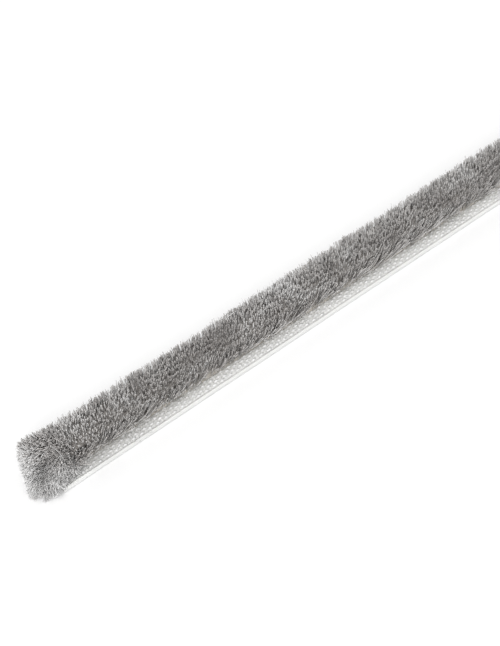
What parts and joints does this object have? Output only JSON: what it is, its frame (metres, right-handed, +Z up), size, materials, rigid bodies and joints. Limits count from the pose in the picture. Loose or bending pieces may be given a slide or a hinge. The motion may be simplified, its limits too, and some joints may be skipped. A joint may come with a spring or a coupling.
{
  "type": "woven pile brush seal strip",
  "caption": "Straight length of woven pile weatherstrip: a pale woven backing tape with bare margins and a dense grey fibre pile standing along its middle, fanned out at both cut ends.",
  "frame": {"origin": "middle of the tape's underside", "axes": "+X along the strip, +Y across it, +Z up through the pile"},
  "size_m": [1.0052, 0.0068, 0.0065],
  "materials": {
    "backing": "woven polypropylene threads, milky white",
    "pile": "shorn polypropylene fibres, warm grey"
  },
  "bodies": {
    "root": {"backing_tape": "backing", "pile": "pile"}
  },
  "joints": []
}
